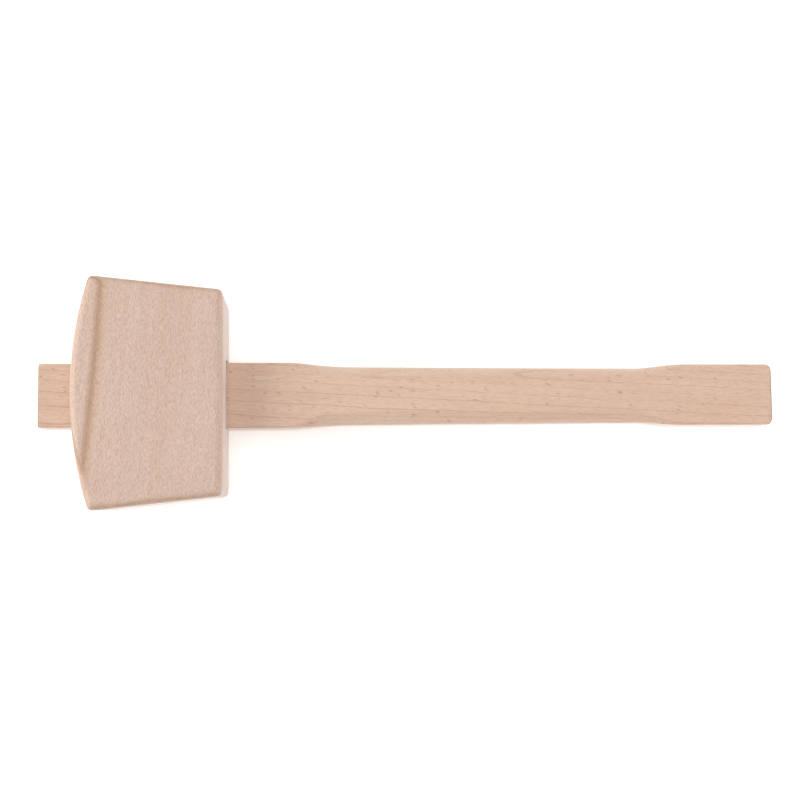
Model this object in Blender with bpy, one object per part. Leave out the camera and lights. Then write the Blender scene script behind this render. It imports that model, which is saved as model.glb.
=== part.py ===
"""Joiner's mallet: a solid beech head on a beech handle, lying on the head's lower cheek.

Metres, +Z up. +X runs along the handle towards the butt and +Y along the head, between
its two strike faces. The origin is on the lower cheek, under the middle of the head.
"""

import math

import bmesh
import bpy
from mathutils import Vector

# Head: a block whose strike faces lean outwards towards a crown that is an arc
HEAD_DEPTH = 0.0764
HEAD_THICKNESS = 0.060
UNDERSIDE_LENGTH = 0.1056
STRIKE_FACE_TAPER = math.radians(6.0)
CROWN_RADIUS = 0.200
CROWN_SHIFT = 0.002
CROWN_SEGMENTS = 28
HEAD_ARRIS = 0.0038
HEAD_ARRIS_SEGMENTS = 4

# Handle: a flat board, driven into the head from the grip's side
HANDLE_THICKNESS = 0.0215
STUB_LENGTH = 0.0196
STUB_WIDTH = 0.0334
SHOULDER_WIDTH = 0.0345
GRIP_START_WIDTH = 0.0310
GRIP_WIDTH = 0.0296
BUTT_WIDTH = 0.0330

# Handle stations, measured from the head's underside towards the butt
SHOULDER_END = 0.032
GRIP_START = 0.066
GRIP_END = 0.220
BUTT_START = 0.246
BUTT_END = 0.2945

# Handle edges: a small arris, and the large rounding that the grip has
HANDLE_ARRIS = 0.0009
BUTT_ARRIS = 0.0014
GRIP_ROUNDING = 0.0064
ROUNDING_START = 0.033
ROUNDING_FULL = 0.054
ROUNDING_RUN_OUT = 0.218
ROUNDING_END = 0.246
BUTT_CORNER = 0.0034
CORNER_SEGMENTS = 5
END_STEPS = 3

# The mortise follows the tenon's taper with this gap on every side, and is cut wider
# on its +Y side where the tenon enters, at the underside
MORTISE_GAP = 0.0003
MORTISE_SLACK = 0.0014

# Places along X that follow from the sizes above
CROWN_X = -HEAD_DEPTH / 2
UNDERSIDE_X = HEAD_DEPTH / 2
STUB_END_X = CROWN_X - STUB_LENGTH
BUTT_END_X = UNDERSIDE_X + BUTT_END
AXIS_Z = HEAD_THICKNESS / 2

BEECH_HEAD = (0.64, 0.45, 0.36)
BEECH_HANDLE = (0.68, 0.46, 0.34)


def clear_scene():
    """Remove whatever the scene holds."""
    for item in list(bpy.data.objects):
        bpy.data.objects.remove(item, do_unlink=True)


def wood(name, colour):
    """Sanded, unvarnished beech."""
    material = bpy.data.materials.new(name)
    material.use_nodes = True
    shader = material.node_tree.nodes["Principled BSDF"]
    shader.inputs["Base Color"].default_value = (*colour, 1.0)
    shader.inputs["Roughness"].default_value = 0.55
    shader.inputs["Metallic"].default_value = 0.0
    return material


def add_object(name, mesh_builder, material=None, location=(0.0, 0.0, 0.0)):
    """Link a named object whose mesh is the finished bmesh."""
    mesh = bpy.data.meshes.new(name)
    bmesh.ops.recalc_face_normals(mesh_builder, faces=mesh_builder.faces)
    mesh_builder.to_mesh(mesh)
    mesh_builder.free()
    item = bpy.data.objects.new(name, mesh)
    item.location = location
    bpy.context.scene.collection.objects.link(item)
    if material is not None:
        mesh.materials.append(material)
        mesh.shade_smooth()
        mesh.set_sharp_from_angle(angle=math.radians(35))
    return item


def ease(value, start, end):
    """Smooth step from 0 at start to 1 at end."""
    share = min(max((value - start) / (end - start), 0.0), 1.0)
    return share * share * (3.0 - 2.0 * share)


def blend(low, high, share):
    """Value between low and high."""
    return low + (high - low) * share


# ---- head ---------------------------------------------------------------------------------

def crown_depth(y):
    """X of the crown at a place along the head."""
    return CROWN_X + CROWN_RADIUS - math.sqrt(CROWN_RADIUS ** 2 - (y - CROWN_SHIFT) ** 2)


def strike_face_y(x):
    """Half the head's length at a place along the handle."""
    return UNDERSIDE_LENGTH / 2 + math.tan(STRIKE_FACE_TAPER) * (UNDERSIDE_X - x)


def crown_corner(side):
    """The point where a strike face meets the crown, found by stepping onto both lines."""
    x = CROWN_X
    for _ in range(20):
        x = crown_depth(side * strike_face_y(x))
    return x, side * strike_face_y(x)


def head_outline():
    """The head's outline in plan: underside, strike face, crown arc, strike face."""
    low_corner = crown_corner(-1)
    high_corner = crown_corner(1)
    outline = [(UNDERSIDE_X, -UNDERSIDE_LENGTH / 2), (UNDERSIDE_X, UNDERSIDE_LENGTH / 2), high_corner]
    for index in range(1, CROWN_SEGMENTS):
        y = blend(high_corner[1], low_corner[1], index / CROWN_SEGMENTS)
        outline.append((crown_depth(y), y))
    outline.append(low_corner)
    return outline


def mortise_cutter():
    """The tapered hole through the head, run past both faces."""
    overrun = 0.004
    builder = bmesh.new()
    rings = []
    for x in (CROWN_X - overrun, UNDERSIDE_X + overrun):
        low_y = -tenon_width(x) / 2 - MORTISE_GAP
        slack = MORTISE_SLACK * (x - CROWN_X) / HEAD_DEPTH
        high_y = tenon_width(x) / 2 + MORTISE_GAP + max(slack, 0.0)
        low_z = AXIS_Z - HANDLE_THICKNESS / 2 - MORTISE_GAP
        high_z = AXIS_Z + HANDLE_THICKNESS / 2 + MORTISE_GAP
        corners = ((low_y, low_z), (high_y, low_z), (high_y, high_z), (low_y, high_z))
        rings.append([builder.verts.new((x, y, z)) for y, z in corners])
    for index in range(4):
        after = (index + 1) % 4
        builder.faces.new((rings[0][index], rings[0][after], rings[1][after], rings[1][index]))
    builder.faces.new(rings[0])
    builder.faces.new(rings[1])
    cutter = add_object("mortise_cutter", builder)
    cutter.hide_render = True
    cutter.display_type = "WIRE"
    return cutter


def build_head(material):
    """One block, its arrises rounded over, with the mortise cut through from crown to underside."""
    builder = bmesh.new()
    floor = builder.faces.new([builder.verts.new((x, y, 0.0)) for x, y in head_outline()])
    raised = bmesh.ops.extrude_face_region(builder, geom=[floor])
    top_vertices = [item for item in raised["geom"] if isinstance(item, bmesh.types.BMVert)]
    bmesh.ops.translate(builder, verts=top_vertices, vec=(0.0, 0.0, HEAD_THICKNESS))
    head = add_object("head", builder, material)

    arris = head.modifiers.new("arris", "BEVEL")
    arris.width = HEAD_ARRIS
    arris.segments = HEAD_ARRIS_SEGMENTS
    arris.limit_method = "ANGLE"
    arris.angle_limit = math.radians(30)

    mortise = head.modifiers.new("mortise", "BOOLEAN")
    mortise.operation = "DIFFERENCE"
    mortise.solver = "EXACT"
    mortise.object = mortise_cutter()
    return head


# ---- handle -------------------------------------------------------------------------------

def tenon_width(x):
    """Width of the tenon and of the mortise's taper, narrower towards the crown."""
    return blend(STUB_WIDTH, SHOULDER_WIDTH, (x - STUB_END_X) / (UNDERSIDE_X - STUB_END_X))


def handle_width(x):
    """Width of the handle: tenon taper, straight shoulder, waisted grip, wider butt."""
    along = x - UNDERSIDE_X
    if along <= 0.0:
        return tenon_width(x)
    if along <= GRIP_START:
        return blend(SHOULDER_WIDTH, GRIP_START_WIDTH, ease(along, SHOULDER_END, GRIP_START))
    if along <= GRIP_END:
        return blend(GRIP_START_WIDTH, GRIP_WIDTH, (along - GRIP_START) / (GRIP_END - GRIP_START))
    return blend(GRIP_WIDTH, BUTT_WIDTH, ease(along, GRIP_END, BUTT_START))


def edge_radius(x):
    """Radius of the handle's long edges: an arris that swells into the grip's rounding."""
    along = x - UNDERSIDE_X
    grip = blend(HANDLE_ARRIS, GRIP_ROUNDING, ease(along, ROUNDING_START, ROUNDING_FULL))
    return blend(grip, BUTT_ARRIS, ease(along, ROUNDING_RUN_OUT, ROUNDING_END))


def rounded_end(distance, radius):
    """How far a rounded end has drawn in at a distance from that end."""
    if distance >= radius:
        return 0.0
    return radius - math.sqrt(radius ** 2 - (radius - distance) ** 2)


def section(builder, x):
    """One ring of vertices round the handle, a rectangle with rounded corners."""
    from_stub_end = x - STUB_END_X
    from_butt_end = BUTT_END_X - x
    half_width = handle_width(x) / 2
    half_width -= rounded_end(from_stub_end, HANDLE_ARRIS) + rounded_end(from_butt_end, BUTT_CORNER)
    half_thickness = HANDLE_THICKNESS / 2
    half_thickness -= rounded_end(from_stub_end, HANDLE_ARRIS) + rounded_end(from_butt_end, BUTT_ARRIS)
    radius = edge_radius(x)
    ring = []
    for quadrant in range(4):
        side = 1 if quadrant in (0, 3) else -1
        lift = 1 if quadrant in (0, 1) else -1
        centre = Vector((x, side * (half_width - radius), lift * (half_thickness - radius)))
        for step in range(CORNER_SEGMENTS + 1):
            angle = math.radians(90.0 * (quadrant + step / CORNER_SEGMENTS))
            ring.append(builder.verts.new(centre + radius * Vector((0.0, math.cos(angle), math.sin(angle)))))
    return ring


def handle_stations():
    """Places of the rings along the handle, closest together where its shape turns."""
    places = []
    for step in range(END_STEPS + 1):
        angle = math.radians(90.0 * step / END_STEPS)
        places.append(STUB_END_X + HANDLE_ARRIS * (1.0 - math.cos(angle)))
    places.append(UNDERSIDE_X)
    places.append(UNDERSIDE_X + SHOULDER_END)
    stretches = ((SHOULDER_END, GRIP_START, 10), (GRIP_START, GRIP_END, 3), (GRIP_END, BUTT_START, 9))
    for start, end, count in stretches:
        for step in range(1, count + 1):
            places.append(UNDERSIDE_X + blend(start, end, step / count))
    for step in range(2 * END_STEPS + 1):
        angle = math.radians(90.0 * step / (2 * END_STEPS))
        places.append(BUTT_END_X - BUTT_CORNER * (1.0 - math.sin(angle)))
    return places


def build_handle(material):
    """The handle, lofted through its rings and closed with a flat at each end."""
    builder = bmesh.new()
    rings = [section(builder, x) for x in handle_stations()]
    count = len(rings[0])
    for near, far in zip(rings, rings[1:]):
        for index in range(count):
            after = (index + 1) % count
            builder.faces.new((near[index], near[after], far[after], far[index]))
    builder.faces.new(rings[0])
    builder.faces.new(rings[-1])
    return add_object("handle", builder, material, location=(0.0, 0.0, AXIS_Z))


clear_scene()
build_head(wood("beech_head", BEECH_HEAD))
build_handle(wood("beech_handle", BEECH_HANDLE))
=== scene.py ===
import math

import bmesh
import bpy
from mathutils import Euler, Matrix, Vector


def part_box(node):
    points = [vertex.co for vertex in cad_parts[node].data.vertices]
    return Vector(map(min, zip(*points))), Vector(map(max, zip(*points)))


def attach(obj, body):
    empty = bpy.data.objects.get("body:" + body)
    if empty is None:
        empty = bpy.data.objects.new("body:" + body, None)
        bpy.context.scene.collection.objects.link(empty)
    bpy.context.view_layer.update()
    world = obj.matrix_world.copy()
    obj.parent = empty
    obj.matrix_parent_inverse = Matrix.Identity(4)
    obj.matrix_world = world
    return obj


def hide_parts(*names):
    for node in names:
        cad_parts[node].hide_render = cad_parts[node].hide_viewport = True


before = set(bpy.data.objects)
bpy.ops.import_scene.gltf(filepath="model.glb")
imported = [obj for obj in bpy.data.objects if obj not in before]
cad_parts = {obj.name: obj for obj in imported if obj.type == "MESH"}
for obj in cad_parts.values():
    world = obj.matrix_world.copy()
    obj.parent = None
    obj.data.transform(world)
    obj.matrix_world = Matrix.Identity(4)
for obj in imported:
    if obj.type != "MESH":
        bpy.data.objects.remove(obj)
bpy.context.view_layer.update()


# ---- The head -------------------------------------------------------------------------------
# One block of steamed beech, sawn wedge-shaped in plan with an arched crown, sanded all over
# and left bare. Its grain runs from strike face to strike face, its outer edges are rounded
# over, and a mortise goes right through it from the underside to the crown.

HEAD_LOW, HEAD_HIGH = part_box("head")
HANDLE_LOW, HANDLE_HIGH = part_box("handle")

# Half the underside's length on each side of the handle, in metres as every size here
NEAR_HALF_LENGTH = 0.0528
FAR_HALF_LENGTH = 0.0533
STRIKE_FACE_LEAN = math.radians(6.0)
CROWN_RISE = 0.0004
CROWN_MIDDLE = HEAD_LOW.x - CROWN_RISE
CROWN_RADIUS = 0.200
CROWN_SHIFT = 0.002
PLAN_CORNER = 0.0030
HEAD_EDGE = 0.0038
FLAT_MARGIN = 0.0003
SIDE_BULGE = {"underside": 0.0011, "strike": 0.0003, "crown": 0.0003}

MORTISE_STUB_WIDTH = 0.0334
MORTISE_GAP = 0.00014
MORTISE_SLACK = 0.0014
CUTTER_OVERRUN = 0.003

CORNER_STEPS = 8
EDGE_STEPS = 8
RUN_SPACING = 0.0020
HEAD_MERGE = 0.000001
SHARP_ANGLE = math.radians(40)
QUARTER_TURN = math.radians(90.0)

# Wood: lengths along the grain and widths across it in millimetres, on both pieces
SWAY_LENGTH = 60.0
SWAY_WIDTH = 20.0
STREAK_LENGTH = 70.0
STREAK_WIDTH = 3.2
PORE_LENGTH = 1.6
PORE_WIDTH = 0.24
RING_CLOSE = 0.97
LINE_LEAD = 0.02
BARE_ROUGHNESS = 0.44
BARE_GLOSS = 0.45
SHEEN_ROUGHNESS = 0.35
RELIEF_DEPTH = 0.0001


class Socket:
    """A socket of a node tree: arithmetic on it adds Math nodes, and node() adds any other."""

    def __init__(self, tree, socket=None):
        self.tree = tree
        self.socket = socket

    def node(self, kind, settings=None, inputs=None, output=0):
        """Add a node: first its settings, then a value or a link for each of its sockets."""
        made = self.tree.nodes.new(kind)
        for name, value in (settings or {}).items():
            setattr(made, name, value)
        for name, value in (inputs or {}).items():
            if isinstance(value, Socket):
                self.tree.links.new(value.socket, made.inputs[name])
            else:
                made.inputs[name].default_value = value
        return Socket(self.tree, made.outputs[output] if made.outputs else None)

    def also(self, output):
        """Another output of the node that this socket belongs to."""
        return Socket(self.tree, self.socket.node.outputs[output])

    def maths(self, operation, *values):
        return self.node("ShaderNodeMath", {"operation": operation}, dict(enumerate(values)))

    def __add__(self, other):
        return self.maths("ADD", self, other)

    def __radd__(self, other):
        return self.maths("ADD", other, self)

    def __sub__(self, other):
        return self.maths("SUBTRACT", self, other)

    def __rsub__(self, other):
        return self.maths("SUBTRACT", other, self)

    def __mul__(self, other):
        return self.maths("MULTIPLY", self, other)

    def __rmul__(self, other):
        return self.maths("MULTIPLY", other, self)

    def __truediv__(self, other):
        return self.maths("DIVIDE", self, other)

    def __rtruediv__(self, other):
        return self.maths("DIVIDE", other, self)

    def __pow__(self, other):
        return self.maths("POWER", self, other)

    def __rpow__(self, other):
        return self.maths("POWER", other, self)

    def between(self, start, end):
        """Straight rise from 0 at start to 1 at end."""
        return self.node(
            "ShaderNodeMapRange", {"clamp": True},
            {"Value": self, "From Min": start, "From Max": end},
        )

    def ease(self, start, end):
        """Smooth rise from 0 at start to 1 at end."""
        return self.node(
            "ShaderNodeMapRange", {"interpolation_type": "SMOOTHSTEP"},
            {"Value": self, "From Min": start, "From Max": end},
        )

    def vector(self, y, z):
        """A vector with this socket as its X."""
        return self.node("ShaderNodeCombineXYZ", None, {"X": self, "Y": y, "Z": z})

    def tinted(self, share, colour, how="MIX"):
        """This colour mixed with another by a share."""
        settings = {"data_type": "RGBA", "blend_type": how, "clamp_factor": True}
        return self.node("ShaderNodeMix", settings, {0: share, 6: self, 7: colour}, 2)


def head_outline():
    """Inner point, outward normal, mitre and side of each outline point, anticlockwise.

    The inner shape is the plan drawn in by its corner radius, so its corners are the centres
    of the rounded ones. A ring reaches out from it along the normals or, once it is drawn in
    by more than the corner radius, back in along the mitres.
    """
    lean = STRIKE_FACE_LEAN
    face_normal = Vector((math.sin(lean), math.cos(lean)))
    face_along = Vector((-math.cos(lean), math.sin(lean)))
    crown_centre = Vector((CROWN_MIDDLE + CROWN_RADIUS, CROWN_SHIFT))
    inner_radius = CROWN_RADIUS - PLAN_CORNER

    def corners(side, half_length):
        """Where a strike face meets the underside and the crown, on the inner shape."""
        mirror = Vector((1.0, side))
        normal, along = face_normal * mirror, face_along * mirror
        reach = face_normal.dot(Vector((HEAD_HIGH.x, half_length))) - PLAN_CORNER
        base = normal * reach
        near = base + along * ((HEAD_HIGH.x - PLAN_CORNER - base.x) / along.x)
        offset = base - crown_centre
        half = offset.dot(along)
        chord = math.sqrt(half ** 2 - offset.length_squared + inner_radius ** 2)
        far = base + along * (chord - half)
        return normal, near, far

    high_normal, high_near, high_far = corners(1.0, FAR_HALF_LENGTH)
    low_normal, low_near, low_far = corners(-1.0, NEAR_HALF_LENGTH)
    points = []

    def run(start, end, normal, side):
        count = max(2, round((end - start).length / RUN_SPACING))
        for step in range(1, count):
            points.append((start.lerp(end, step / count), normal, normal, side))

    def turn(centre, start, end):
        mitre = (start + end) / (1.0 + start.dot(end))
        first = math.atan2(start.y, start.x)
        last = math.atan2(end.y, end.x)
        if last < first:
            last += math.tau
        for step in range(CORNER_STEPS + 1):
            angle = first + (last - first) * step / CORNER_STEPS
            points.append((centre, Vector((math.cos(angle), math.sin(angle))), mitre, None))

    facing_grip = Vector((1.0, 0.0))
    high_crown = (high_far - crown_centre).normalized()
    low_crown = (low_far - crown_centre).normalized()
    run(low_near, high_near, facing_grip, "underside")
    turn(high_near, facing_grip, high_normal)
    run(high_near, high_far, high_normal, "strike")
    turn(high_far, high_normal, high_crown)
    arc_start = math.atan2(high_crown.y, high_crown.x)
    arc_end = math.atan2(low_crown.y, low_crown.x) + math.tau
    count = round((arc_end - arc_start) * inner_radius / RUN_SPACING)
    for step in range(1, count):
        angle = arc_start + (arc_end - arc_start) * step / count
        normal = Vector((math.cos(angle), math.sin(angle)))
        points.append((crown_centre + normal * inner_radius, normal, normal, "crown"))
    turn(low_far, low_crown, low_normal)
    run(low_far, low_near, low_normal, "strike")
    turn(low_near, low_normal, facing_grip)
    return points


def head_levels():
    """Heights and insets of the rings, from the lower cheek to the upper one."""
    levels = []
    for step in range(EDGE_STEPS + 1):
        angle = QUARTER_TURN * step / EDGE_STEPS
        levels.append((HEAD_EDGE * (1.0 - math.cos(angle)), HEAD_EDGE * (1.0 - math.sin(angle))))
    levels.insert(0, (0.0, HEAD_EDGE + FLAT_MARGIN))
    thickness = HEAD_HIGH.z - HEAD_LOW.z
    middle = round((thickness - 2 * HEAD_EDGE) / (2 * RUN_SPACING))
    between = [
        (HEAD_EDGE + (thickness - 2 * HEAD_EDGE) * step / middle, 0.0)
        for step in range(1, middle)
    ]
    upper = [(thickness - height, inset) for height, inset in reversed(levels)]
    return levels + between + upper


def plain_mesh(name, build):
    """A linked object with the mesh that a bmesh holds."""
    mesh = bpy.data.meshes.new(name)
    build.to_mesh(mesh)
    build.free()
    piece = bpy.data.objects.new(name, mesh)
    bpy.context.scene.collection.objects.link(piece)
    return piece


def finished(name, piece):
    """A plain copy of a piece as its modifiers leave it; the piece itself is removed."""
    graph = bpy.context.evaluated_depsgraph_get()
    mesh = bpy.data.meshes.new_from_object(piece.evaluated_get(graph))
    bpy.data.objects.remove(piece, do_unlink=True)
    made = bpy.data.objects.new(name, mesh)
    mesh.name = name
    bpy.context.scene.collection.objects.link(made)
    return made


def mortise_cutter():
    """The hole that the tenon passes through, cut wider on its +Y side at the underside."""
    build = bmesh.new()
    tenon_slope = (HANDLE_HIGH.y * 2 - MORTISE_STUB_WIDTH) / (HEAD_HIGH.x - HANDLE_LOW.x)
    depth = HEAD_HIGH.x - HEAD_LOW.x
    rings = []
    for x in (HEAD_LOW.x - CUTTER_OVERRUN, HEAD_HIGH.x + CUTTER_OVERRUN):
        half = (MORTISE_STUB_WIDTH + tenon_slope * (x - HANDLE_LOW.x)) / 2 + MORTISE_GAP
        slack = MORTISE_SLACK * max(0.0, (x - HEAD_LOW.x) / depth)
        low_z, high_z = HANDLE_LOW.z - MORTISE_GAP, HANDLE_HIGH.z + MORTISE_GAP
        corners = ((-half, low_z), (half + slack, low_z), (half + slack, high_z), (-half, high_z))
        rings.append([build.verts.new((x, y, z)) for y, z in corners])
    for index in range(4):
        after = (index + 1) % 4
        build.faces.new((rings[0][index], rings[0][after], rings[1][after], rings[1][index]))
    build.faces.new(rings[0][::-1])
    build.faces.new(rings[1])
    bmesh.ops.recalc_face_normals(build, faces=build.faces)
    return plain_mesh("mortise_cutter", build)


def head_block():
    """The block lofted through its rings, closed by its two flat cheeks, then mortised."""
    outline = head_outline()
    middle = (HEAD_LOW.z + HEAD_HIGH.z) / 2
    half_thickness = (HEAD_HIGH.z - HEAD_LOW.z) / 2
    build = bmesh.new()
    rings = []
    for height, inset in head_levels():
        off_centre = (HEAD_LOW.z + height - middle) / half_thickness
        ring = []
        for inner, normal, mitre, side in outline:
            bulge = SIDE_BULGE.get(side, 0.0) * (1.0 - off_centre ** 2)
            reach = PLAN_CORNER - inset
            place = inner + normal * (max(reach, 0.0) + bulge) + mitre * min(reach, 0.0)
            ring.append(build.verts.new((place.x, place.y, HEAD_LOW.z + height)))
        rings.append(ring)
    count = len(outline)
    for lower, upper in zip(rings, rings[1:]):
        for index in range(count):
            after = (index + 1) % count
            build.faces.new((lower[index], lower[after], upper[after], upper[index]))
    build.faces.new(rings[0][::-1])
    build.faces.new(rings[-1])
    bmesh.ops.remove_doubles(build, verts=build.verts, dist=HEAD_MERGE)
    block = plain_mesh("head_block", build)
    cutter = mortise_cutter()
    cut = block.modifiers.new("mortise", "BOOLEAN")
    cut.operation = "DIFFERENCE"
    cut.solver = "EXACT"
    cut.object = cutter
    mortised = finished("mallet_head", block)
    bpy.data.objects.remove(cutter, do_unlink=True)
    mortised.data.shade_smooth()
    mortised.data.set_sharp_from_angle(angle=SHARP_ANGLE)
    return mortised


def beech(name, board, looks):
    """Bare sanded beech as one solid: rings, streaks, fibres, pores, ray flecks, end grain.

    Coordinates are in millimetres from the middle of the tree, along its grain, to the side
    and outwards. Every pattern reads them, so it carries on round each edge of the piece.
    """
    material = bpy.data.materials.new(name)
    material.use_nodes = True
    tree = material.node_tree
    shader = tree.nodes["Principled BSDF"]
    start = Socket(tree)

    place = start.node("ShaderNodeTexCoord", output="Object")
    in_tree = place.node(
        "ShaderNodeMapping", {"vector_type": "TEXTURE"},
        {
            "Vector": place, "Location": board["pith"], "Rotation": board["turn"],
            "Scale": (0.001, 0.001, 0.001),
        },
    )
    along = in_tree.node("ShaderNodeSeparateXYZ", None, {"Vector": in_tree}, "X")
    side, out = along.also("Y"), along.also("Z")
    side = side + along * board["sweep"] + along * along * board["bow"]

    # Rings: pale early wood darkens towards a narrow line, then starts pale again
    slow = (along / SWAY_LENGTH).vector(side / SWAY_WIDTH, out / SWAY_WIDTH)
    sway = slow.node("ShaderNodeTexNoise", None, {"Vector": slow, "Scale": 1.0, "Detail": 2.0})
    sway = sway - 0.5
    radius = (side * side + out * out) ** 0.5 + sway * looks["ring_sway"]
    age = (radius + board["ring_shift"]) / looks["ring_width"]
    year = age.maths("FLOOR", age)
    season = age - year
    late = season.ease(looks["late_start"], RING_CLOSE) * (1.0 - season.ease(RING_CLOSE, 1.0))
    nearest = age.maths("ROUND", age + LINE_LEAD)
    off_line = age + LINE_LEAD - nearest
    line = 1.0 - off_line.maths("ABSOLUTE", off_line).ease(0.0, looks["line_half"])
    chance = nearest.node(
        "ShaderNodeTexWhiteNoise", {"noise_dimensions": "1D"}, {"W": nearest}, "Value"
    )
    dark_ring = nearest.maths("COMPARE", nearest, looks["dark_ring"], 0.5)
    vigour = looks["other_rings"] + dark_ring * (1.0 - looks["other_rings"])
    vigour = vigour * (1.0 - chance * looks["ring_variety"])

    # Streaks and fibres: the same noise, drawn out along the grain at two sizes
    arc = side.maths("ARCTAN2", side, out) * board["distance"]
    broad = (along / STREAK_LENGTH).vector(arc / STREAK_WIDTH, radius / STREAK_WIDTH)
    streak = broad.node(
        "ShaderNodeTexNoise", None,
        {"Vector": broad, "Scale": 1.0, "Detail": 3.0, "Roughness": 0.55},
    )
    fibre_width = looks["fibre_width"]
    fine = (along / looks["fibre_length"]).vector(arc / fibre_width, radius / fibre_width)
    fibre = fine.node(
        "ShaderNodeTexNoise", None,
        {"Vector": fine, "Scale": 1.0, "Detail": 3.0, "Roughness": 0.62},
    )

    # Rays: thin sheets that stand on the grain, cut across as short dark spindles
    ray_length, ray_width, ray_depth = looks["ray_cell"]
    ray_arc = arc + along * looks["ray_slope"] + (fibre - 0.5) * ray_width * 0.5
    rays = (along / ray_length).vector(ray_arc / ray_width, radius / ray_depth)
    ray_near = rays.node(
        "ShaderNodeTexVoronoi", {"feature": "F1"}, {"Vector": rays, "Scale": 1.0}, "Distance"
    )
    ray_kind = ray_near.node(
        "ShaderNodeSeparateColor", None, {"Color": ray_near.also("Color")}, "Red"
    )
    ray = (1.0 - ray_near.ease(*looks["ray_edge"])) * ray_kind.ease(*looks["ray_share"])

    # Pores: very fine tubes, closed spots on end grain and hairlines on the long faces
    tubes = (along / PORE_LENGTH).vector(arc / PORE_WIDTH, radius / PORE_WIDTH)
    pore_near = tubes.node(
        "ShaderNodeTexVoronoi", {"feature": "F1"}, {"Vector": tubes, "Scale": 1.0}, "Distance"
    )
    pore = 1.0 - pore_near.ease(0.12, 0.38)

    # End grain: the faces and rounded edges that cut across the fibres
    normal = place.also("Normal")
    facing = normal.node("ShaderNodeVectorMath", {"operation": "ABSOLUTE"}, {0: normal})
    facing = facing.node("ShaderNodeSeparateXYZ", None, {"Vector": facing}, board["grain_axis"])
    across = facing.ease(*looks["end_grain_edge"])

    # Rounded edges: painted shade, a little darker and warmer than the flats on both sides of
    # them
    flattest = facing.maths("MAXIMUM", facing.also("X"), facing.also("Y"))
    flattest = flattest.maths("MAXIMUM", flattest, facing.also("Z"))
    rounded = (1.0 - flattest.ease(0.76, 0.98)) * (0.35 + streak.ease(0.42, 0.58) * 0.65)

    shade = streak.ease(0.32, 0.68)
    colour = shade.node(
        "ShaderNodeMix", {"data_type": "RGBA"}, {0: shade, 6: looks["pale"], 7: looks["warm"]}, 2
    )
    colour = colour.tinted(late * vigour * looks["late_strength"], looks["late"])
    colour = colour.tinted(line * vigour * looks["line_strength"], looks["line"])
    furrow = fibre.ease(0.44, 0.60)
    colour = colour.tinted(furrow * looks["fibre_strength"], looks["fibre"], "MULTIPLY")
    colour = colour.tinted(pore * looks["pore_strength"], looks["fleck"])
    colour = colour.tinted(ray * (1.0 - across * 0.6) * looks["ray_strength"], looks["fleck"])
    colour = colour.tinted(across * looks["end_strength"], looks["end"], "MULTIPLY")
    # painted shade: the rounded edges are darkened and warmed by the edge colour
    colour = colour.tinted(rounded * looks["edge_shade_strength"], looks["edge"], "MULTIPLY")
    tree.links.new(colour.socket, shader.inputs["Base Color"])

    roughness = BARE_ROUGHNESS + fibre * 0.16 + across * 0.10 - ray * 0.06
    tree.links.new(roughness.socket, shader.inputs["Roughness"])
    shader.inputs["Specular IOR Level"].default_value = BARE_GLOSS
    shader.inputs["Sheen Weight"].default_value = looks["sheen"]
    shader.inputs["Sheen Roughness"].default_value = SHEEN_ROUGHNESS

    relief = fibre * 0.6 - pore * 0.35 - ray * 0.25 + streak * 0.8
    bump = relief.node(
        "ShaderNodeBump", None,
        {"Height": relief, "Strength": looks["relief"], "Distance": RELIEF_DEPTH},
    )
    tree.links.new(bump.socket, shader.inputs["Normal"])
    return material


HEAD_BOARD = {
    "pith": (0.009, 0.0, -0.100),
    "turn": (0.0, 0.0, math.radians(90.0)),
    "distance": 160.0,
    "sweep": 0.085,
    "bow": -0.0003,
    "ring_shift": 1.31,
    "grain_axis": "Y",
}
HEAD_LOOKS = {
    "ring_width": 4.6,
    "ring_sway": 0.35,
    "late_start": 0.70,
    "line_half": 0.15,
    "late_strength": 0.85,
    "line_strength": 0.58,
    "ring_variety": 0.15,
    "other_rings": 0.28,
    "dark_ring": 36.0,
    "fibre_length": 1.9,
    "fibre_width": 0.27,
    "fibre_strength": 1.0,
    "pore_strength": 0.10,
    "ray_strength": 0.30,
    "ray_cell": (3.2, 0.75, 6.0),
    "ray_slope": 0.0,
    "ray_edge": (0.08, 0.34),
    "ray_share": (0.3, 0.9),
    "end_grain_edge": (0.2, 0.8),
    "end_strength": 0.8,
    "relief": 0.35,
    "sheen": 0.5,
    # Painted shade on the rounded edges: its strength and colour
    "edge_shade_strength": 1.0,
    "edge": (0.955, 0.90, 0.81, 1.0),
    "pale": (0.600, 0.437, 0.355, 1.0),
    "warm": (0.575, 0.407, 0.325, 1.0),
    "late": (0.495, 0.32, 0.205, 1.0),
    "line": (0.34, 0.195, 0.12, 1.0),
    "fibre": (0.765, 0.73, 0.708, 1.0),
    "fleck": (0.40, 0.245, 0.175, 1.0),
    "end": (0.84, 0.79, 0.75, 1.0),
}

mallet_head = head_block()
mallet_head.data.materials.clear()
mallet_head.data.materials.append(beech("beech_head", HEAD_BOARD, HEAD_LOOKS))
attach(mallet_head, "head")
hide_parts("head")


# ---- The handle -----------------------------------------------------------------------------
# One flat length of straighter, warmer beech. Its plain tenon goes through the head and stands
# proud of the crown as a square stub; the grip is waisted, its four long edges rounded over
# with a cutter that stops short of the head and of the butt.

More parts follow.
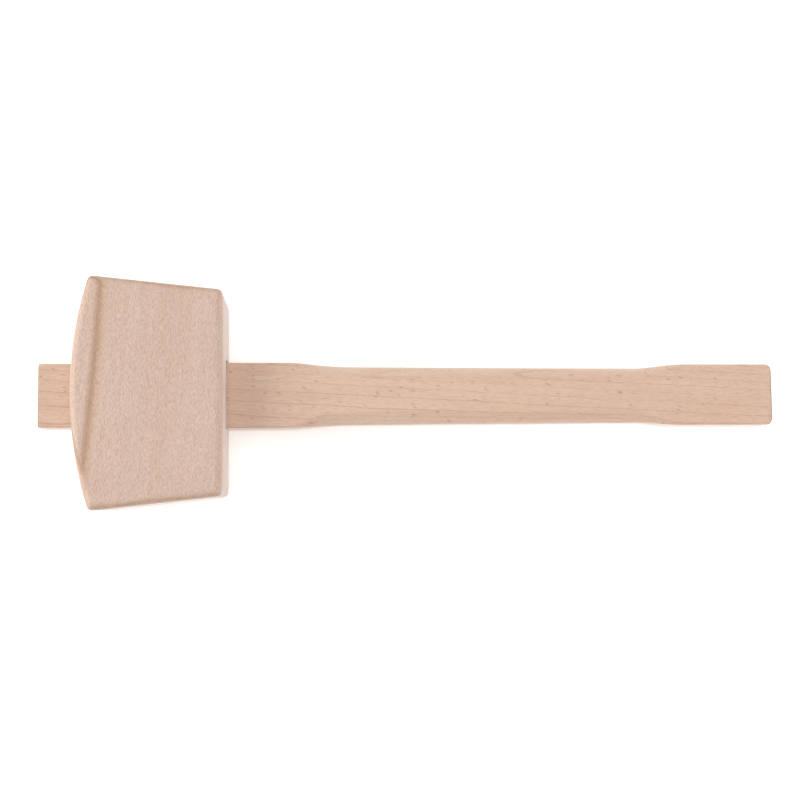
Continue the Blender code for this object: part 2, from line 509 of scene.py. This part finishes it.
HANDLE_SIZES = {
    "Stub End": HANDLE_LOW.x,
    "Butt End": HANDLE_HIGH.x,
    "Underside": HEAD_HIGH.x,
    "Middle": (HANDLE_LOW.z + HANDLE_HIGH.z) / 2,
    "Thickness": HANDLE_HIGH.z - HANDLE_LOW.z,
    "Stub Width": MORTISE_STUB_WIDTH,
    "Shoulder Width": HANDLE_HIGH.y * 2,
    "Grip Start Width": 0.0310,
    "Grip Width": 0.0296,
    "Butt Width": 0.0330,
    "Shoulder End": 0.032,
    "Grip Start": 0.066,
    "Grip End": 0.220,
    "Butt Start": 0.246,
    "Edge": 0.0009,
    "Butt Edge": 0.0014,
    "Butt Corner": 0.0034,
    "Grip Rounding": 0.0064,
    "Rounding Start": 0.033,
    "Rounding Full": 0.054,
    "Rounding Run Out": 0.218,
    "Rounding End": 0.246,
    "Crease": math.radians(15.0),
    "Fresh Crease": math.radians(30.0),
    "Crease Fade Start": 0.055,
    "Crease Fade End": 0.130,
}
STUB_STEPS = 5
BUTT_STEPS = 10
LENGTH_STEPS = 384
QUARTER_POINTS = 10
HANDLE_MERGE = 0.00001


def handle_tree(sizes):
    """Node tree that bends a grid into the handle: rows along it, columns round it."""
    tree = bpy.data.node_groups.new("handle_shape", "GeometryNodeTree")
    tree.interface.new_socket(name="Handle", in_out="OUTPUT", socket_type="NodeSocketGeometry")
    for name in sizes:
        tree.interface.new_socket(name=name, in_out="INPUT", socket_type="NodeSocketFloat")
    tree.interface.new_socket(name="Wood", in_out="INPUT", socket_type="NodeSocketMaterial")
    start = Socket(tree)
    given = start.node("NodeGroupInput")
    size = {name: given.also(name) for name in sizes}

    rows = STUB_STEPS + BUTT_STEPS + LENGTH_STEPS + 5
    columns = 4 * QUARTER_POINTS + 1
    grid = start.node("GeometryNodeMeshGrid", None, {"Vertices X": rows, "Vertices Y": columns})
    index = start.node("GeometryNodeInputIndex")
    row = index.maths("FLOOR", (index + 0.5) / columns)
    column = index - row * columns

    # Along the handle: an end line, the edge of the end face, a rounded end, the length, and
    # the same again in reverse at the butt
    stub_turn = row.between(2.0, 2.0 + STUB_STEPS) * QUARTER_TURN
    butt_first = float(rows - 3 - BUTT_STEPS)
    butt_turn = row.between(butt_first, rows - 3.0) * QUARTER_TURN
    length = size["Butt End"] - size["Stub End"] - size["Edge"] - size["Butt Corner"]
    x = size["Stub End"] + size["Edge"] * (1.0 - stub_turn.maths("COSINE", stub_turn))
    x = x + row.between(2.0 + STUB_STEPS, butt_first) * length
    x = x + size["Butt Corner"] * butt_turn.maths("SINE", butt_turn)
    on_end = (1.0 - row.between(1.0, 2.0)) + row.between(rows - 3.0, rows - 2.0)
    open_row = row.between(0.0, 1.0) * (1.0 - row.between(rows - 2.0, rows - 1.0))

    def drawn_in(distance, radius):
        """How far a rounded end of that radius has drawn in at a distance from the end."""
        short = radius - distance.maths("MINIMUM", distance, radius)
        return radius - (radius * radius - short * short) ** 0.5

    past = x - size["Underside"]
    from_stub = (x - size["Stub End"]).maths("MAXIMUM", x - size["Stub End"], 0.0)
    from_butt = (size["Butt End"] - x).maths("MAXIMUM", size["Butt End"] - x, 0.0)
    tenon = x.between(size["Stub End"], size["Underside"])
    width = size["Stub Width"] + (size["Shoulder Width"] - size["Stub Width"]) * tenon
    shoulder = past.ease(size["Shoulder End"], size["Grip Start"])
    width = width + (size["Grip Start Width"] - size["Shoulder Width"]) * shoulder
    waist = past.between(size["Grip Start"], size["Grip End"])
    width = width + (size["Grip Width"] - size["Grip Start Width"]) * waist
    swell = past.ease(size["Grip End"], size["Butt Start"])
    width = width + (size["Butt Width"] - size["Grip Width"]) * swell

    margin = on_end * FLAT_MARGIN
    stub_end = drawn_in(from_stub, size["Edge"])
    half_width = width * 0.5 - stub_end - drawn_in(from_butt, size["Butt Corner"]) - margin
    half_thickness = size["Thickness"] * 0.5 - stub_end
    half_thickness = half_thickness - drawn_in(from_butt, size["Butt Edge"]) - margin
    cut_in = past.ease(size["Rounding Start"], size["Rounding Full"])
    run_out = past.ease(size["Rounding Run Out"], size["Rounding End"])
    radius = size["Edge"] + (size["Grip Rounding"] - size["Edge"]) * cut_in
    radius = radius + (size["Butt Edge"] - size["Grip Rounding"]) * run_out

    # Round the handle: four quarters, each a rounded corner with a point on the flat beside
    # it; the arc meets both flats at a slight crease, sharper where the cutter went in
    quarter = column.maths("FLOOR", (column + 0.5) / QUARTER_POINTS)
    step = column - quarter * QUARTER_POINTS
    share = step.between(1.0, QUARTER_POINTS - 2.0)
    crease = past.ease(size["Crease Fade Start"], size["Crease Fade End"])
    crease = size["Fresh Crease"] + (size["Crease"] - size["Fresh Crease"]) * crease
    sunk, spread = crease.maths("SINE", crease), crease.maths("COSINE", crease)
    arc_radius = radius / (spread - sunk)
    angle = quarter * QUARTER_TURN + crease + share * (QUARTER_TURN - crease * 2.0)
    cosine, sine = angle.maths("COSINE", angle), angle.maths("SINE", angle)
    mid_angle = (quarter + 0.5) * QUARTER_TURN
    side = mid_angle.maths("SIGN", mid_angle.maths("COSINE", mid_angle))
    lift = mid_angle.maths("SIGN", mid_angle.maths("SINE", mid_angle))
    last_step = step.between(QUARTER_POINTS - 2.0, QUARTER_POINTS - 1.0)
    beside = (last_step + step.between(0.0, 1.0) - 1.0) * FLAT_MARGIN
    y = side * (half_width - radius - arc_radius * sunk) + arc_radius * cosine
    z = lift * (half_thickness - radius - arc_radius * sunk) + arc_radius * sine
    flat_turn = (quarter + share) * QUARTER_TURN
    y = y - beside * flat_turn.maths("SINE", flat_turn)
    z = z + beside * flat_turn.maths("COSINE", flat_turn)

    bent = grid.node(
        "GeometryNodeSetPosition", None,
        {"Geometry": grid, "Position": x.vector(y, z * open_row + size["Middle"])},
    )
    closed = bent.node(
        "GeometryNodeMergeByDistance", None, {"Geometry": bent, "Distance": HANDLE_MERGE}
    )
    outward = closed.node("GeometryNodeFlipFaces", None, {"Mesh": closed})
    smooth = outward.node("GeometryNodeSetShadeSmooth", None, {"Geometry": outward})
    real = smooth.node("GeometryNodeRealizeInstances", None, {"Geometry": smooth})
    wooden = real.node(
        "GeometryNodeSetMaterial", None, {"Geometry": real, "Material": given.also("Wood")}
    )
    wooden.node("NodeGroupOutput", None, {"Handle": wooden})
    return tree


def shaped_by(tree, values, name):
    """A plain mesh object made by a node tree with the given values for its named inputs."""
    blank = bpy.data.objects.new(name + "_blank", bpy.data.meshes.new(name + "_blank"))
    bpy.context.scene.collection.objects.link(blank)
    modifier = blank.modifiers.new("shape", "NODES")
    modifier.node_group = tree
    for item in tree.interface.items_tree:
        if item.in_out == "INPUT":
            modifier[item.identifier] = values[item.name]
    return finished(name, blank)


HANDLE_BOARD = {
    "pith": (0.0, -0.034, -0.045),
    "turn": (math.radians(24.0), 0.0, math.radians(-3.0)),
    "distance": 80.0,
    "sweep": 0.0,
    "bow": 0.0,
    "ring_shift": 0.0,
    "grain_axis": "X",
}
HANDLE_LOOKS = {
    "ring_width": 2.3,
    "ring_sway": 1.2,
    "late_start": 0.35,
    "line_half": 0.07,
    "late_strength": 0.14,
    "line_strength": 0.48,
    "ring_variety": 0.7,
    "other_rings": 1.0,
    "dark_ring": 0.0,
    "fibre_length": 4.0,
    "fibre_width": 0.52,
    "fibre_strength": 0.66,
    "pore_strength": 0.10,
    "ray_strength": 0.75,
    "ray_cell": (6.5, 1.35, 9.0),
    "ray_slope": 0.12,
    "ray_edge": (0.06, 0.27),
    "ray_share": (0.50, 0.85),
    "end_grain_edge": (0.18, 0.55),
    "end_strength": 1.0,
    "relief": 0.35,
    "sheen": 0.5,
    # Painted shade on the rounded edges: its strength and colour
    "edge_shade_strength": 0.8,
    "edge": (0.98, 0.985, 1.0, 1.0),
    "pale": (0.620, 0.440, 0.335, 1.0),
    "warm": (0.600, 0.410, 0.300, 1.0),
    "late": (0.52, 0.33, 0.22, 1.0),
    "line": (0.38, 0.21, 0.14, 1.0),
    "fibre": (0.86, 0.82, 0.79, 1.0),
    "fleck": (0.36, 0.19, 0.12, 1.0),
    "end": (0.58, 0.49, 0.43, 1.0),
}

handle_values = dict(HANDLE_SIZES, Wood=beech("beech_handle", HANDLE_BOARD, HANDLE_LOOKS))
mallet_handle = shaped_by(handle_tree(HANDLE_SIZES), handle_values, "mallet_handle")
mallet_handle.data.set_sharp_from_angle(angle=SHARP_ANGLE)
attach(mallet_handle, "handle")
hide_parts("handle")


# ---- The studio -----------------------------------------------------------------------------
# The mallet lies on its cheek on a round white table that sweeps up into a low white wall.
# The strongest soft lamp stands beyond the crown, one hangs overhead, a weaker one stands
# beyond the butt and the weakest on the far side.

TABLE_RADIUS = 3.0
SWEEP_RADIUS = 1.5
WALL_TOP = 2.4
TABLE_SIDES = 96
SWEEP_STEPS = 12
TABLE_GLOW = 0.32
ROOM_STRENGTH = 0.28
LAMP_AIM = Vector((0.05, 0.0, 0.03))
LAMP_WIDTH = 1.0
LAMPS = {
    "crown_lamp": {"place": Vector((-1.22, 0.0, 0.72)), "power": 15.4},
    "ceiling_lamp": {"place": Vector((0.1, 0.0, 1.6)), "power": 8.8},
    "butt_lamp": {"place": Vector((1.3, 0.0, 0.7)), "power": 6.1},
    "far_lamp": {"place": Vector((0.1, 1.2, 0.7)), "power": 2.2},
}
CAMERA_PLACE = (0.07942, -0.05996, 0.7065)
CAMERA_TURN = (0.08555, -0.07653, -0.00889)
CAMERA_LENS = 56.99


def table_material():
    """White board that a light underneath makes glow a little."""
    material = bpy.data.materials.new("table_white")
    material.use_nodes = True
    shader = material.node_tree.nodes["Principled BSDF"]
    shader.inputs["Base Color"].default_value = (0.92, 0.92, 0.92, 1.0)
    shader.inputs["Roughness"].default_value = 0.9
    shader.inputs["Specular IOR Level"].default_value = 0.1
    shader.inputs["Emission Color"].default_value = (1.0, 1.0, 1.0, 1.0)
    shader.inputs["Emission Strength"].default_value = TABLE_GLOW
    return material


def table_mesh():
    """A flat disc, a quarter round sweep and an upright wall, in one skin."""
    profile = [(TABLE_RADIUS / 2, 0.0)]
    for step in range(SWEEP_STEPS + 1):
        angle = QUARTER_TURN * step / SWEEP_STEPS
        out = TABLE_RADIUS + SWEEP_RADIUS * math.sin(angle)
        profile.append((out, SWEEP_RADIUS * (1.0 - math.cos(angle))))
    profile.append((TABLE_RADIUS + SWEEP_RADIUS, WALL_TOP))
    build = bmesh.new()
    rings = []
    for out, height in profile:
        ring = []
        for side in range(TABLE_SIDES):
            angle = math.tau * side / TABLE_SIDES
            ring.append(build.verts.new((out * math.cos(angle), out * math.sin(angle), height)))
        rings.append(ring)
    build.faces.new(rings[0])
    for inner, outer in zip(rings, rings[1:]):
        for side in range(TABLE_SIDES):
            after = (side + 1) % TABLE_SIDES
            build.faces.new((inner[side], outer[side], outer[after], inner[after]))
    return build


table = plain_mesh("table", table_mesh())
table.data.shade_smooth()
table.data.materials.append(table_material())

for lamp_name, lamp_facts in LAMPS.items():
    light = bpy.data.lights.new(lamp_name, "AREA")
    light.shape = "DISK"
    light.size = LAMP_WIDTH
    light.energy = lamp_facts["power"]
    lamp = bpy.data.objects.new(lamp_name, light)
    lamp.location = lamp_facts["place"]
    lamp.rotation_euler = (LAMP_AIM - lamp_facts["place"]).to_track_quat("-Z", "Y").to_euler()
    bpy.context.scene.collection.objects.link(lamp)

room = bpy.data.worlds.new("pale_room")
room.use_nodes = True
room.node_tree.nodes["Background"].inputs["Color"].default_value = (1.0, 1.0, 1.0, 1.0)
room.node_tree.nodes["Background"].inputs["Strength"].default_value = ROOM_STRENGTH
bpy.context.scene.world = room
bpy.context.scene.view_settings.view_transform = "Standard"

camera = bpy.data.objects.new("camera", bpy.data.cameras.new("camera"))
camera.data.lens = CAMERA_LENS
camera.data.sensor_width = 36.0
camera.data.clip_start = 0.01
camera.location = CAMERA_PLACE
camera.rotation_euler = Euler(CAMERA_TURN, "ZXY").to_matrix().to_euler()
bpy.context.scene.collection.objects.link(camera)
bpy.context.scene.camera = camera
